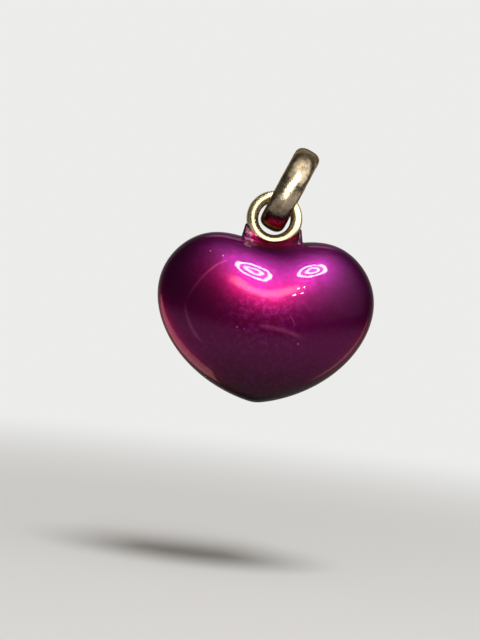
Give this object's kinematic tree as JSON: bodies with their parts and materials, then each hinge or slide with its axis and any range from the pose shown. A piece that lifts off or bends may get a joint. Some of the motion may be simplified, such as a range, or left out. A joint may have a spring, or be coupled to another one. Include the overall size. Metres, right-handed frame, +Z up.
{
  "type": "puffy heart pendant",
  "caption": "Domed enamelled heart pendant with a wire eye bedded in its cleft and a loose thick bail ring for a chain.",
  "frame": {"origin": "centre of the bail ring's opening, where a chain runs through", "axes": "+Z up with the heart hanging upright, tip down; +X to the right seen from the front; the front face looks towards -Y"},
  "size_m": [0.02, 0.01, 0.0238],
  "materials": {
    "enamel": "glossy translucent purple enamel over metal",
    "eye_silver": "worn bright silver, slightly yellowed",
    "bail_silver": "tarnished scratched silver"
  },
  "bodies": {
    "bail": {"bail_ring": "bail_silver"},
    "pendant": {"heart": "enamel", "eye": "eye_silver"}
  },
  "joints": [
    {"name": "heart_swing", "type": "hinge", "parent": "bail", "child": "pendant", "pos_m": [-0.00112, 0, -0.00278], "axis": [0, 1, 0], "range_deg": [-72, 116]}
  ]
}
